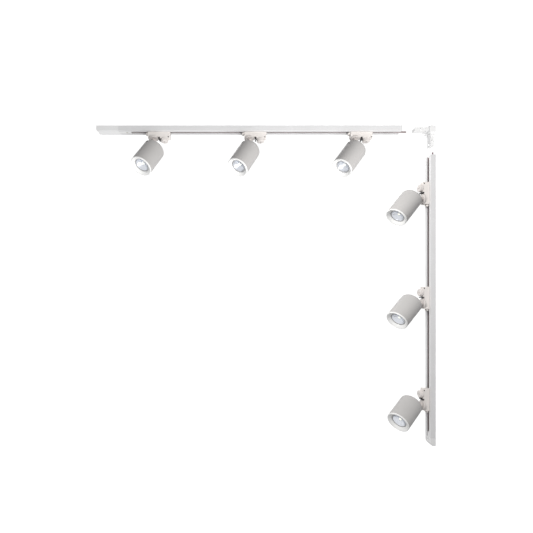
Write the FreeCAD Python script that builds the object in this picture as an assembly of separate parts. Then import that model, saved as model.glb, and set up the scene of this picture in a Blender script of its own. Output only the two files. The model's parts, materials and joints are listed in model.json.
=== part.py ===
"""Two-rail track lighting kit: six cylinder spotlights, a live end and an inside-corner connector.

Every rail is built in its own rail frame: x runs along the rail, z is the normal of the
mounting face (z = 0 there, the slot face is at z = -RAIL_HEIGHT) and y runs across it.
Rail 1 hangs from the ceiling, and its rail frame is the frame of the whole part.
Rail 2 stands on the wall, with its x along world +Z and its z along world +X.
Every spotlight is built in its own spot frame: z = 0 is the slot face that it hangs from,
the z axis is its swivel axis, and its lock knob is on the +x side.
"""
import FreeCAD, Part
import math
import os

from FreeCAD import Placement, Rotation, Vector

# ---- Rail -------------------------------------------------------------------------------
RAIL_LENGTH = 1000.0
RAIL_WIDTH = 35.0
RAIL_HEIGHT = 18.0
RAIL_WALL = 1.5
RAIL_WEB = 2.0
RAIL_EDGE_ROUND = 0.6
SLOT_WIDTH = 13.0
SCREW_HOLE_RADIUS = 2.25
SCREW_HOLE_SPACING = 600.0

# ---- Insulation and conductors inside a rail -----------------------------------------------
CHANNEL_HALF = 10.6
LINER_FIT = 0.05
GROOVE_HEIGHT = 5.0
GROOVE_DEPTH = 3.75
CONDUCTOR_LEVEL = -9.0
CONDUCTOR_HEIGHT = 4.5
CONDUCTOR_THICKNESS = 1.5
CONDUCTOR_INNER = 12.8
RAIL_1_CONDUCTOR_STUB = 28.5
RAIL_2_CONDUCTOR_STUB = 8.0

# ---- Where rail 2 and the corner connector stand, pulled apart ---------------------------
WALL_PLANE = 618.0
RAIL_2_TOP = -101.5
CORNER_SIDE = 22.0
CORNER_ROUND = 1.2
ARM_LENGTH = 48.0
ARM_HALF_WIDTH = 10.0
ARM_HEIGHT = 12.0
COLLAR_LENGTH = 9.5
COLLAR_HALF_WIDTH = 12.0
COLLAR_HEIGHT = 15.2
ARM_TIP_CHAMFER = 1.5
CONTACT_BUTTON_RADIUS = 2.2
CONTACT_BUTTON_TIP = 12.3
CONTACT_FROM_TIP = 20.0
CONTACT_FIT = 0.15
STRIP_INNER = 7.0
STRIP_THICKNESS = 1.0
STRIP_HALF_HEIGHT = 1.5
ARM_SCREW_FROM_TIP = 8.0
ARM_SCREW_HEAD_RADIUS = 2.4
ARM_SCREW_HEAD_HEIGHT = 1.6
ARM_SCREW_RADIUS = 1.5
ARM_SCREW_LENGTH = 9.0
STUB_POCKET_DEPTH = 20.5
STUB_POCKET_CLEARANCE = 0.5

# ---- Live end and end cap ------------------------------------------------------------------
LIVE_END_LENGTH = 78.5
LIVE_END_WALL = 2.5
LIVE_END_SIDE_WALL = 2.0
LIVE_END_TONGUE = 40.0
TONGUE_FACE = -17.6
TONGUE_BACK = -12.5
HATCH_HALF_WIDTH = 11.0
HATCH_FROM_END = 8.5
BEVEL_ANGLE = 30.0
BEVEL_CUTTER_HALF = 7.0
TERMINAL_START = -530.0
TERMINAL_END = -508.0
TERMINAL_HALF_WIDTH = 12.6
TERMINAL_LOW = -15.0
TERMINAL_HIGH = -5.0
WIRE_OFFSET = 6.0
WIRE_HOLE_RADIUS = 1.8
WIRE_SCREW_RADIUS = 2.2
WIRE_SCREW_FROM_START = 7.0
BLADE_THICKNESS = 1.2
BLADE_LENGTH = 28.0
BLADE_HALF_HEIGHT = 1.5
FIXING_SCREW_X = -474.5
FIXING_HEAD_RADIUS = 2.6
FIXING_SHANK_RADIUS = 1.5
FIXING_HEAD_DEPTH = 1.5
FIXING_TIP = -9.5
END_CAP_LENGTH = 28.0
END_CAP_PLUG = 15.0
END_GAP = 0.2
CAP_BEVEL_LENGTH = 10.0
CAP_BEVEL_HEIGHT = 7.0
PLUG_HALF_WIDTH = 10.2
PLUG_LOW = -15.5
PLUG_HIGH = -2.4
PLUG_WALL = 2.0
CABLE_ENTRY_RADIUS = 4.5
TONGUE_HALF = 6.1

# ---- Spotlight adapter -----------------------------------------------------------------------
ADAPTER_BACK = -18.5
ADAPTER_FRONT = 60.0
ADAPTER_HALF_WIDTH = 10.0
ADAPTER_DROP = 22.0
ADAPTER_PLATE = 18.0
ADAPTER_FRONT_ROUND = 3.0
ADAPTER_STEP_ROUND = 1.2
RIB_START = 20.0
RIB_END = 23.5
RIB_HALF_WIDTH = 9.0
RIB_DROP = 28.0
PIN_HOLE_X = 54.0
PIN_HOLE_LEVEL = -18.5
PIN_HOLE_RADIUS = 2.2
PIN_HOLE_DEPTH = 3.0
SPIGOT_SHELF = -3.6
CLIP_ROOM_RADIUS = 8.4
ADAPTER_TOP = -0.4
BLOCK_START = 24.0
TONGUE_TOP = 4.5
TONGUE_ROOT = -0.5
TONGUE_TURN_ROOM = 10.0
LOW_TONGUE_TOP = 1.4
CAM_ROOM = 13.0
LOCK_AXIS = 39.0
LOCK_RADIUS = 13.0
LOCK_DROP = 33.5
LOCK_CHAMFER = 1.2
LOCK_FLUTES = 20
FLUTE_RADIUS = 1.2
FLUTE_OFFSET = 0.4
COIN_SLOT_HALF_WIDTH = 1.0
COIN_SLOT_HALF_LENGTH = 8.0
COIN_SLOT_DEPTH = 1.4
LOCK_SHAFT_RADIUS = 4.0
HOLDING_BAR = (2.4, 10.0, 1.9, 4.9)
MAST_RADIUS = 2.2
CONTACT_BAR = (1.6, 12.4, 8.2, 9.8)
RUNNING_CLEARANCE = 0.06
TAB_LENGTH = 7.6
TAB_GAP = 0.4
TAB_HALF_WIDTH = 5.0
TAB_LOW = -9.0
TAB_HIGH = -1.2
TAB_ROUND = 1.5
TAB_RIBS = 3
TAB_RIB_PITCH = 2.2
TAB_GROOVE = 0.9
TAB_SHANK_END = -14.2
TAB_SHANK_HALF_WIDTH = 4.0

# ---- Swivel neck -------------------------------------------------------------------------------
TURRET_RADIUS = 18.5
TURRET_DROP = 23.0
TURRET_GAP = 0.3
TURRET_ROUND = 1.5
SPIGOT_RADIUS = 6.0
SPIGOT_TOP = -1.2
CLIP_RADIUS = 7.9
CLIP_LOW = -3.3
CLIP_HIGH = -1.8
STEM_HALF_WIDTH = 6.5
STEM_HALF_THICKNESS = 4.0
PIVOT_DROP = 62.0
PIVOT_RADIUS = 2.5
PIVOT_CLEARANCE = 0.05
BOLT_HEAD_RADIUS = 4.2
BOLT_HEAD_THICKNESS = 2.0
EAR_GAP = 0.3
WIRE_BORE_RADIUS = 2.4
WIRE_EXIT_ABOVE_PIVOT = 13.0

# ---- Spotlight head, measured from its tilt pivot ------------------------------------------
HEAD_RADIUS = 37.5
HEAD_WALL = 2.5
HEAD_REAR = 12.0
HEAD_REAR_ROUND = 10.0
HEAD_FRONT = 97.0
RING_LENGTH = 13.0
STEM_SLOT_HALF = 4.7
STEM_SLOT_BACK = 7.2
EAR_THICKNESS = 3.5
EAR_HALF_WIDTH = 8.0
LAMP_RADIUS = 25.0
LAMP_RECESS = 8.7
LAMP_BODY_LENGTH = 48.0
LAMP_PIN_LENGTH = 7.0
LAMP_PIN_RADIUS = 2.2
LAMP_PIN_SPREAD = 5.0
LAMP_NECK_RADIUS = 13.0
RIM_THICKNESS = 2.6
RIM_ROUND = 1.2
SEAM_GROOVE = 0.5
SKIRT_LENGTH = 6.0
SKIRT_THICKNESS = 1.9
MOUTH_CLEARANCE = 0.4
MOUTH_DEPTH = 2.3
HOLDER_RADIUS = 13.5
HOLDER_PIN_HOLE = 3.2
HOLDER_PLATE_LEVEL = -17.6
HOLDER_PLATE_THICKNESS = 1.5
HOLDER_SCREW_OFFSET = 22.0
HOLDER_SCREW_HOLE = 5.0

# ---- Where each spotlight sits: rail, distance from the rail's middle, pan and tilt in degrees.
# Pan is counted from the lock knob's side, tilt from straight out of the rail.
SPOTS = (
    (1, -380.0, 237.0, 37.5),
    (1, -37.5, 222.0, 37.0),
    (1, 339.5, 205.0, 39.5),
    (2, 346.0, 163.0, 50.0),
    (2, -26.0, 148.0, 46.0),
    (2, -388.0, 131.0, 44.0),
)


# ---- Frames -----------------------------------------------------------------------------------
def rail_frame(rail):
    """Place of a rail's own frame in the part's frame."""
    if rail == 1:
        return Placement()
    turn = Rotation(Vector(0, 0, 1), Vector(0, -1, 0), Vector(1, 0, 0), "ZXY")
    return Placement(Vector(WALL_PLANE, 0, RAIL_2_TOP - RAIL_LENGTH / 2), turn)


def spot_frame(spot):
    """Place of a spotlight's frame: on the slot face, at its swivel axis."""
    rail, along, _, _ = spot
    return rail_frame(rail) * Placement(Vector(along, 0, -RAIL_HEIGHT), Rotation())


def neck_frame(spot):
    """The spot frame turned about the swivel axis to the pan angle."""
    return spot_frame(spot) * Placement(Vector(), Rotation(Vector(0, 0, 1), spot[2]))


def head_frame(spot):
    """Origin at the tilt pivot, with the head's front towards -z."""
    tilt = Rotation(Vector(0, -1, 0), spot[3])
    return neck_frame(spot) * Placement(Vector(0, 0, -PIVOT_DROP), tilt)


# ---- Shape helpers ----------------------------------------------------------------------------
def box(x0, x1, y0, y1, z0, z1):
    """Block between two corners."""
    return Part.makeBox(x1 - x0, y1 - y0, z1 - z0, Vector(x0, y0, z0))


def rod(radius, z0, z1, x=0.0, y=0.0):
    """Round bar along z."""
    return Part.makeCylinder(radius, z1 - z0, Vector(x, y, z0), Vector(0, 0, 1))


def x_rod(radius, x0, x1, y=0.0, z=0.0):
    """Round bar along x."""
    return Part.makeCylinder(radius, x1 - x0, Vector(x0, y, z), Vector(1, 0, 0))


def y_rod(radius, y0, y1, x=0.0, z=0.0):
    """Round bar along y."""
    return Part.makeCylinder(radius, y1 - y0, Vector(x, y0, z), Vector(0, 1, 0))


def turned(points):
    """Solid of revolution about z of a closed outline given as (radius, z) points."""
    corners = [Vector(radius, 0, z) for radius, z in points]
    face = Part.Face(Part.makePolygon(corners + corners[:1]))
    return face.revolve(Vector(0, 0, 0), Vector(0, 0, 1), 360)


def edges_at(shape, axis, **place):
    """Straight edges along one axis ("x", "y" or "z") whose middle has the given coordinates."""
    found = []
    for edge in shape.Edges:
        middle = edge.CenterOfMass
        run = edge.Vertexes[-1].Point - edge.Vertexes[0].Point
        along = abs(getattr(run, axis)) > 0.999 * run.Length > 0
        if along and all(abs(abs(getattr(middle, k)) - v) < 0.01 for k, v in place.items()):
            found.append(edge)
    return found


def rings_at(shape, z, radius):
    """Circular edges of one radius at one height."""
    found = []
    for edge in shape.Edges:
        is_circle = isinstance(edge.Curve, Part.Circle)
        if is_circle and abs(edge.CenterOfMass.z - z) < 0.01 and abs(edge.Curve.Radius - radius) < 0.01:
            found.append(edge)
    return found


def both_sides(make):
    """A shape made for side +1 and for side -1."""
    return [make(1), make(-1)]


def span(side, near, far):
    """The two y limits of a stretch from near to far on one side of the middle."""
    return min(side * near, side * far), max(side * near, side * far)


# ---- Rails ------------------------------------------------------------------------------------
def rail_profile():
    """C-shaped aluminium extrusion with screw holes in its web."""
    half = RAIL_LENGTH / 2
    side = RAIL_WIDTH / 2
    body = box(-half, half, -side, side, -RAIL_HEIGHT, 0)
    body = body.makeFillet(RAIL_EDGE_ROUND, edges_at(body, "x", y=side))
    inner = side - RAIL_WALL
    body = body.cut(box(-half - 1, half + 1, -inner, inner, -RAIL_HEIGHT + RAIL_WALL, -RAIL_WEB))
    slot = SLOT_WIDTH / 2
    body = body.cut(box(-half - 1, half + 1, -slot, slot, -RAIL_HEIGHT - 1, -RAIL_HEIGHT + RAIL_WALL + 1))
    for x in (-SCREW_HOLE_SPACING / 2, SCREW_HOLE_SPACING / 2):
        body = body.cut(rod(SCREW_HOLE_RADIUS, -RAIL_WEB - 1, 1, x))
    return body


def rail_liner():
    """Two grooved plastic strips that keep the conductors off the aluminium."""
    half = RAIL_LENGTH / 2
    outer = RAIL_WIDTH / 2 - RAIL_WALL - LINER_FIT
    low = -RAIL_HEIGHT + RAIL_WALL + LINER_FIT
    groove_low = CONDUCTOR_LEVEL - GROOVE_HEIGHT / 2
    groove_high = CONDUCTOR_LEVEL + GROOVE_HEIGHT / 2

    def strip(side):
        y0, y1 = span(side, CHANNEL_HALF, outer)
        g0, g1 = span(side, CHANNEL_HALF - 1, CHANNEL_HALF + GROOVE_DEPTH)
        solid = box(-half, half, y0, y1, low, -RAIL_WEB - LINER_FIT)
        return solid.cut(box(-half - 1, half + 1, g0, g1, groove_low, groove_high))

    return Part.makeCompound(both_sides(strip))


def rail_conductors(stub):
    """Two copper strips; the one on the +y side sticks out of the +x end by stub."""
    half = RAIL_LENGTH / 2
    low = CONDUCTOR_LEVEL - CONDUCTOR_HEIGHT / 2
    high = CONDUCTOR_LEVEL + CONDUCTOR_HEIGHT / 2

    def strip(side):
        y0, y1 = span(side, CONDUCTOR_INNER, CONDUCTOR_INNER + CONDUCTOR_THICKNESS)
        return box(-half, half + (stub if side > 0 else 0.0), y0, y1, low, high)

    return Part.makeCompound(both_sides(strip))


# ---- Live end: the feed at the -x end of rail 1 -------------------------------------------------
def live_end_housing():
    """Hollow plastic feed box with a tongue that closes the first stretch of the slot."""
    start = -RAIL_LENGTH / 2 - LIVE_END_LENGTH
    end = -RAIL_LENGTH / 2 - END_GAP
    side = RAIL_WIDTH / 2
    wall = LIVE_END_SIDE_WALL
    inner = side - wall
    body = box(start, end, -side, side, -RAIL_HEIGHT, 0)
    body = body.makeFillet(RAIL_EDGE_ROUND, edges_at(body, "x", y=side))
    half = BEVEL_CUTTER_HALF
    cutter = box(-half, half, -side - 1, side + 1, -half, half)
    bevel_middle = Vector(start - 2.0, 0, -RAIL_HEIGHT - 4.0)
    cutter.Placement = Placement(bevel_middle, Rotation(Vector(0, 1, 0), BEVEL_ANGLE))
    body = body.cut(cutter)
    hollow_start = start + LIVE_END_WALL
    body = body.cut(box(hollow_start, end - LIVE_END_WALL, -inner, inner, -RAIL_HEIGHT + wall, -wall))
    hatch = HATCH_HALF_WIDTH
    body = body.cut(box(start + HATCH_FROM_END, TERMINAL_START - 4, -hatch, hatch, -wall - 1, 1))
    body = body.cut(x_rod(CABLE_ENTRY_RADIUS, start - 1, start + LIVE_END_WALL + 1, 0, CONDUCTOR_LEVEL))
    blade_room = BLADE_HALF_HEIGHT + 0.5
    low = CONDUCTOR_LEVEL - blade_room
    high = CONDUCTOR_LEVEL + blade_room
    for side_sign in (1, -1):
        y0, y1 = span(side_sign, TERMINAL_HALF_WIDTH - BLADE_THICKNESS - 0.4, TERMINAL_HALF_WIDTH + 0.4)
        body = body.cut(box(end - LIVE_END_WALL - 1, end + 1, y0, y1, low, high))
    tongue_end = end + END_GAP + LIVE_END_TONGUE
    tongue = box(end - 1, tongue_end, -TONGUE_HALF, TONGUE_HALF, TONGUE_FACE, TONGUE_BACK)
    head_seat = TONGUE_FACE + FIXING_HEAD_DEPTH + 0.1
    tongue = tongue.cut(rod(FIXING_HEAD_RADIUS + 0.3, TONGUE_FACE - 1, head_seat, FIXING_SCREW_X))
    tongue = tongue.cut(rod(FIXING_SHANK_RADIUS + 0.2, TONGUE_FACE, TONGUE_BACK + 1, FIXING_SCREW_X))
    return body.fuse(tongue)


def live_end_terminals():
    """Terminal block with its two contact blades, its wire screws and the fixing screw."""
    half = TERMINAL_HALF_WIDTH
    block = box(TERMINAL_START, TERMINAL_END, -half, half, TERMINAL_LOW, TERMINAL_HIGH)
    middle = (TERMINAL_LOW + TERMINAL_HIGH) / 2
    screw_x = TERMINAL_START + WIRE_SCREW_FROM_START
    screw_low = middle + 2.0
    screws = []
    for y in (-WIRE_OFFSET, WIRE_OFFSET):
        block = block.cut(x_rod(WIRE_HOLE_RADIUS, TERMINAL_START - 1, screw_x + 8, y, middle))
        block = block.cut(rod(WIRE_SCREW_RADIUS + 0.2, screw_low, TERMINAL_HIGH + 1, screw_x, y))
        screws.append(rod(WIRE_SCREW_RADIUS, screw_low + 0.1, TERMINAL_HIGH + 0.4, screw_x, y))
    low = CONDUCTOR_LEVEL - BLADE_HALF_HEIGHT
    high = CONDUCTOR_LEVEL + BLADE_HALF_HEIGHT
    for side in (1, -1):
        y0, y1 = span(side, half - BLADE_THICKNESS, half)
        block = block.fuse(box(TERMINAL_END - 1, TERMINAL_END + BLADE_LENGTH, y0, y1, low, high))
    head_low = TONGUE_FACE - 0.3
    head_high = TONGUE_FACE + FIXING_HEAD_DEPTH
    fixing = rod(FIXING_HEAD_RADIUS, head_low, head_high, FIXING_SCREW_X)
    fixing = fixing.fuse(rod(FIXING_SHANK_RADIUS, head_high - 0.4, FIXING_TIP, FIXING_SCREW_X))
    reach = FIXING_HEAD_RADIUS + 1
    slot = box(FIXING_SCREW_X - reach, FIXING_SCREW_X + reach, -0.4, 0.4, head_low - 1, head_low + 0.7)
    return Part.makeCompound([block] + screws + [fixing.cut(slot)])


# ---- End cap at the -x end of rail 2 ------------------------------------------------------------
def end_cap():
    """Plastic cap with a plug that goes into the rail's channel."""
    face = -RAIL_LENGTH / 2 - END_GAP
    start = -RAIL_LENGTH / 2 - END_CAP_LENGTH
    side = RAIL_WIDTH / 2
    body = box(start, face, -side, side, -RAIL_HEIGHT, 0)
    body = body.makeFillet(RAIL_EDGE_ROUND, edges_at(body, "x", y=side))
    outside = -RAIL_HEIGHT - 1
    corner = [
        (start - 1, outside),
        (start + CAP_BEVEL_LENGTH, outside),
        (start - 1, -RAIL_HEIGHT + CAP_BEVEL_HEIGHT),
    ]
    outline = Part.makePolygon([Vector(x, -side - 1, z) for x, z in corner + corner[:1]])
    body = body.cut(Part.Face(outline).extrude(Vector(0, RAIL_WIDTH + 2, 0)))
    slot = SLOT_WIDTH / 2
    groove_start = start + CAP_BEVEL_LENGTH + 6.8
    body = body.cut(box(groove_start, face + 1, -slot, slot, outside, PLUG_LOW))
    wide = PLUG_HALF_WIDTH
    plug_end = face + END_CAP_PLUG
    plug = box(face - 1, plug_end, -wide, wide, PLUG_LOW, PLUG_HIGH)
    inner = wide - PLUG_WALL
    hollow = box(face + 1, plug_end + 1, -inner, inner, PLUG_LOW + PLUG_WALL, PLUG_HIGH - PLUG_WALL)
    return body.fuse(plug.cut(hollow))


# ---- Inside-corner connector, in the part's frame -------------------------------------------------
def corner_arm(width_half, height, start, end):
    """Bar along -x from x = -start to x = -end, at the conductors' level, on the block's side."""
    low = CONDUCTOR_LEVEL - height / 2
    return box(-end, -start, -width_half, width_half, low, low + height)


def along_rail_1(shape):
    """Moves a shape built with the block's face at x = 0 onto the block's rail 1 side."""
    placed = shape.copy()
    placed.Placement = Placement(Vector(WALL_PLANE - CORNER_SIDE, 0, 0), Rotation()) * placed.Placement
    return placed


def along_rail_2(shape):
    """Moves a shape built with the block's face at x = 0 onto the block's rail 2 side."""
    placed = shape.copy()
    turn = Rotation(Vector(0, 0, 1), Vector(0, -1, 0), Vector(1, 0, 0), "ZXY")
    placed.Placement = Placement(Vector(WALL_PLANE, 0, -CORNER_SIDE), turn) * placed.Placement
    return placed


def contact_strip(side, growth):
    """L-shaped strip from arm to arm with a button in each arm; growth widens it into its channel."""
    middle = WALL_PLANE + CONDUCTOR_LEVEL
    y0, y1 = span(side, STRIP_INNER - growth, STRIP_INNER + STRIP_THICKNESS + growth)
    reach = ARM_LENGTH - CONTACT_FROM_TIP + 3.0
    half = STRIP_HALF_HEIGHT + growth
    left = WALL_PLANE - CORNER_SIDE - reach - growth
    bottom = -CORNER_SIDE - reach - growth
    strip = box(left, middle + half, y0, y1, CONDUCTOR_LEVEL - half, CONDUCTOR_LEVEL + half)
    strip = strip.fuse(box(middle - half, middle + half, y0, y1, bottom, CONDUCTOR_LEVEL + half))
    b0, b1 = span(side, STRIP_INNER + STRIP_THICKNESS / 2, CONTACT_BUTTON_TIP + growth)
    radius = CONTACT_BUTTON_RADIUS + growth
    button = y_rod(radius, b0, b1, -(ARM_LENGTH - CONTACT_FROM_TIP), CONDUCTOR_LEVEL)
    other = y_rod(radius, -b1, -b0, -(ARM_LENGTH - CONTACT_FROM_TIP), CONDUCTOR_LEVEL)
    return strip.fuse([along_rail_1(button), along_rail_2(other)])


def arm_screw(growth):
    """Clamping screw in the slot side of an arm; growth widens it into its hole."""
    x = -(ARM_LENGTH - ARM_SCREW_FROM_TIP)
    face = CONDUCTOR_LEVEL - ARM_HEIGHT / 2
    under_head = face + ARM_SCREW_HEAD_HEIGHT
    head = rod(ARM_SCREW_HEAD_RADIUS + growth, face - growth, under_head, x)
    return head.fuse(rod(ARM_SCREW_RADIUS + growth, under_head - 0.1, face + ARM_SCREW_LENGTH + growth, x))


def corner_body():
    """Square block with a collar and an arm for each rail."""
    side = RAIL_WIDTH / 2
    block = box(WALL_PLANE - CORNER_SIDE, WALL_PLANE, -side, side, -CORNER_SIDE, 0)
    block = block.makeFillet(CORNER_ROUND, block.Edges)
    arm = corner_arm(ARM_HALF_WIDTH, ARM_HEIGHT, -1, ARM_LENGTH)
    arm = arm.makeChamfer(ARM_TIP_CHAMFER, edges_at(arm, "y", x=ARM_LENGTH))
    collar = corner_arm(COLLAR_HALF_WIDTH, COLLAR_HEIGHT, -1, COLLAR_LENGTH)
    limb = arm.fuse(collar)
    body = block.fuse([along_rail_1(limb), along_rail_2(limb)])
    for side_sign in (1, -1):
        body = body.cut(contact_strip(side_sign, CONTACT_FIT))
    hole = arm_screw(0.1)
    body = body.cut(along_rail_1(hole))
    body = body.cut(along_rail_2(hole))
    left = WALL_PLANE - CORNER_SIDE
    room = STUB_POCKET_CLEARANCE
    low = CONDUCTOR_LEVEL - CONDUCTOR_HEIGHT / 2 - room
    high = CONDUCTOR_LEVEL + CONDUCTOR_HEIGHT / 2 + room
    y0 = CONDUCTOR_INNER - room
    y1 = CONDUCTOR_INNER + CONDUCTOR_THICKNESS + room
    return body.cut(box(left - 1, left + STUB_POCKET_DEPTH, y0, y1, low, high))


def corner_contacts():
    """The two copper contact strips of the connector."""
    return Part.makeCompound(both_sides(lambda side: contact_strip(side, 0.0)))


def corner_screws():
    """The clamping screw of each arm."""
    screw = arm_screw(0.0)
    return Part.makeCompound([along_rail_1(screw), along_rail_2(screw)])


# ---- Spotlight adapter ------------------------------------------------------------------------------
def adapter_body():
    """Plastic carrier: a plate over the turret, a deeper block around the lock shaft and tongues."""
    wide = ADAPTER_HALF_WIDTH
    plate = box(ADAPTER_BACK, BLOCK_START + 1, -wide, wide, -ADAPTER_PLATE, ADAPTER_TOP)
    block = box(BLOCK_START, ADAPTER_FRONT, -wide, wide, -ADAPTER_DROP, ADAPTER_TOP)
    block = block.makeFillet(ADAPTER_FRONT_ROUND, edges_at(block, "z", x=ADAPTER_FRONT))
    block = block.makeFillet(ADAPTER_STEP_ROUND, edges_at(block, "z", x=BLOCK_START))
    rib = box(RIB_START, RIB_END, -RIB_HALF_WIDTH, RIB_HALF_WIDTH, -RIB_DROP, -ADAPTER_PLATE + 1)

    def tongue(x0, x1, top):
        return box(x0, x1, -TONGUE_HALF, TONGUE_HALF, TONGUE_ROOT, top)

    cam_start = LOCK_AXIS - CAM_ROOM
    cam_end = LOCK_AXIS + CAM_ROOM
    tongues = [
        tongue(ADAPTER_BACK + 0.5, -TONGUE_TURN_ROOM, TONGUE_TOP),
        tongue(TONGUE_TURN_ROOM, cam_start, TONGUE_TOP),
        tongue(cam_start - 0.1, cam_end + 0.1, LOW_TONGUE_TOP),
        tongue(cam_end, ADAPTER_FRONT - 1, TONGUE_TOP),
    ]
    body = plate.fuse([block, rib] + tongues)
    body = body.cut(rod(SPIGOT_RADIUS + RUNNING_CLEARANCE, -ADAPTER_PLATE - 1, SPIGOT_SHELF + 1))
    body = body.cut(rod(CLIP_ROOM_RADIUS, SPIGOT_SHELF, 0))
    body = body.cut(rod(LOCK_SHAFT_RADIUS + RUNNING_CLEARANCE, -ADAPTER_DROP - 1, 2, LOCK_AXIS))
    for side in (1, -1):
        y0, y1 = span(side, wide - PIN_HOLE_DEPTH, wide + 1)
        body = body.cut(y_rod(PIN_HOLE_RADIUS, y0, y1, PIN_HOLE_X, PIN_HOLE_LEVEL))
    pocket = TAB_SHANK_HALF_WIDTH + 0.3
    return body.cut(box(ADAPTER_BACK - 1, TAB_SHANK_END + 0.4, -pocket, pocket, -4.2, TONGUE_ROOT))


def lock_knob():
    """Fluted knob, shaft, holding bar above the rail's lips and contact bar between the conductors."""
    top = -ADAPTER_DROP - 0.4
    knob = rod(LOCK_RADIUS, -LOCK_DROP, top, LOCK_AXIS)
    knob = knob.makeChamfer(LOCK_CHAMFER, rings_at(knob, -LOCK_DROP, LOCK_RADIUS))
    flute_circle = LOCK_RADIUS + FLUTE_OFFSET
    for index in range(LOCK_FLUTES):
        angle = 2 * math.pi * index / LOCK_FLUTES
        x = LOCK_AXIS + flute_circle * math.cos(angle)
        y = flute_circle * math.sin(angle)
        knob = knob.cut(rod(FLUTE_RADIUS, -LOCK_DROP - 1, top - 1.6, x, y))

    def bar(half_width, half_length, low, high):
        return box(LOCK_AXIS - half_width, LOCK_AXIS + half_width, -half_length, half_length, low, high)

    slot_top = -LOCK_DROP + COIN_SLOT_DEPTH
    coin_slot = bar(COIN_SLOT_HALF_WIDTH, COIN_SLOT_HALF_LENGTH, -LOCK_DROP - 1, slot_top)
    holding_bar = bar(*HOLDING_BAR)
    contact_bar = bar(*CONTACT_BAR)
    shaft = rod(LOCK_SHAFT_RADIUS, top - 1, 2.0, LOCK_AXIS)
    mast = rod(MAST_RADIUS, 4.5, 8.5, LOCK_AXIS)
    return knob.cut(coin_slot).fuse([shaft, holding_bar, mast, contact_bar])


def release_tab():
    """Ribbed pull tab with a shank in the adapter's end and a finger in the slot."""
    end = ADAPTER_BACK - TAB_GAP
    start = end - TAB_LENGTH
    grip = box(start, end, -TAB_HALF_WIDTH, TAB_HALF_WIDTH, TAB_LOW, TAB_HIGH)
    grip = grip.makeFillet(TAB_ROUND, edges_at(grip, "z", x=-start))
    for index in range(TAB_RIBS):
        x = start + 1.4 + TAB_RIB_PITCH * index
        across = TAB_HALF_WIDTH + 1
        grip = grip.cut(box(x, x + TAB_GROOVE, -across, across, TAB_LOW - 1, TAB_LOW + 0.6))
    half = TAB_SHANK_HALF_WIDTH
    shank = box(end - 0.1, TAB_SHANK_END, -half, half, -3.9, -0.8)
    finger = box(end - 2.6, end, -half, half, TAB_HIGH - 0.1, 1.2)
    return grip.fuse([shank, finger])


# ---- Swivel neck, in the neck frame: the head tilts towards +x ------------------------------------
def swivel_neck():
    """Round turret under the adapter with a flat stem down to the tilt pivot, its ring and bolt."""
    top = -ADAPTER_PLATE - TURRET_GAP
    turret = rod(TURRET_RADIUS, -TURRET_DROP, top)
    turret = turret.makeFillet(TURRET_ROUND, rings_at(turret, -TURRET_DROP, TURRET_RADIUS))
    spigot = rod(SPIGOT_RADIUS, top - 1, SPIGOT_TOP)
    thick = STEM_HALF_THICKNESS
    stem = box(-STEM_HALF_WIDTH, STEM_HALF_WIDTH, -thick, thick, -PIVOT_DROP, -TURRET_DROP + 1)
    stem_end = y_rod(STEM_HALF_WIDTH, -thick, thick, 0, -PIVOT_DROP)
    neck = turret.fuse([spigot, stem, stem_end])
    neck = neck.cut(y_rod(PIVOT_RADIUS, -thick - 1, thick + 1, 0, -PIVOT_DROP))
    exit_level = -PIVOT_DROP + WIRE_EXIT_ABOVE_PIVOT
    neck = neck.cut(rod(WIRE_BORE_RADIUS, exit_level, 0))
    neck = neck.cut(x_rod(WIRE_BORE_RADIUS, -STEM_HALF_WIDTH - 1, 0, 0, exit_level))
    clip = rod(CLIP_RADIUS, CLIP_LOW, CLIP_HIGH)
    clip = clip.cut(rod(SPIGOT_RADIUS + 0.02, CLIP_LOW - 1, CLIP_HIGH + 1))
    ear_outside = STEM_SLOT_HALF + EAR_GAP + EAR_THICKNESS
    bolt = y_rod(PIVOT_RADIUS - PIVOT_CLEARANCE, -ear_outside - 1, ear_outside + 1, 0, -PIVOT_DROP)
    for side in (1, -1):
        y0, y1 = span(side, ear_outside + EAR_GAP, ear_outside + EAR_GAP + BOLT_HEAD_THICKNESS)
        bolt = bolt.fuse(y_rod(BOLT_HEAD_RADIUS, y0, y1, 0, -PIVOT_DROP))
    return Part.makeCompound([neck, clip, bolt])


# ---- Spotlight head, in the head frame -------------------------------------------------------------
def rounded_can(radius, front, rear, corner):
    """Solid cylinder with a rounded rear edge."""
    can = rod(radius, front, rear)
    return can.makeFillet(corner, rings_at(can, rear, radius))


def head_housing():
    """Aluminium can with ears for the pivot bolt and a slot that the stem swings in."""
    seam = -HEAD_FRONT + RING_LENGTH
    outer = rounded_can(HEAD_RADIUS, seam, HEAD_REAR, HEAD_REAR_ROUND)
    outer = outer.makeChamfer(SEAM_GROOVE, rings_at(outer, seam, HEAD_RADIUS))
    inner_round = HEAD_REAR_ROUND - HEAD_WALL
    inner = rounded_can(HEAD_RADIUS - HEAD_WALL, seam - 1, HEAD_REAR - HEAD_WALL, inner_round)
    can = outer.cut(inner)
    near = STEM_SLOT_HALF + EAR_GAP

    def ear(side):
        y0, y1 = span(side, near, near + EAR_THICKNESS)
        plate = box(-EAR_HALF_WIDTH, EAR_HALF_WIDTH, y0, y1, 0, HEAD_REAR - HEAD_WALL + 0.7)
        return plate.fuse(y_rod(EAR_HALF_WIDTH, y0, y1))

    can = can.fuse(both_sides(ear))
    half = STEM_SLOT_HALF
    can = can.cut(box(-STEM_SLOT_BACK, HEAD_RADIUS + 2, -half, half, -STEM_SLOT_BACK, HEAD_REAR + 1))
    return can.cut(y_rod(PIVOT_RADIUS, -near - EAR_THICKNESS - 1, near + EAR_THICKNESS + 1))


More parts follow.
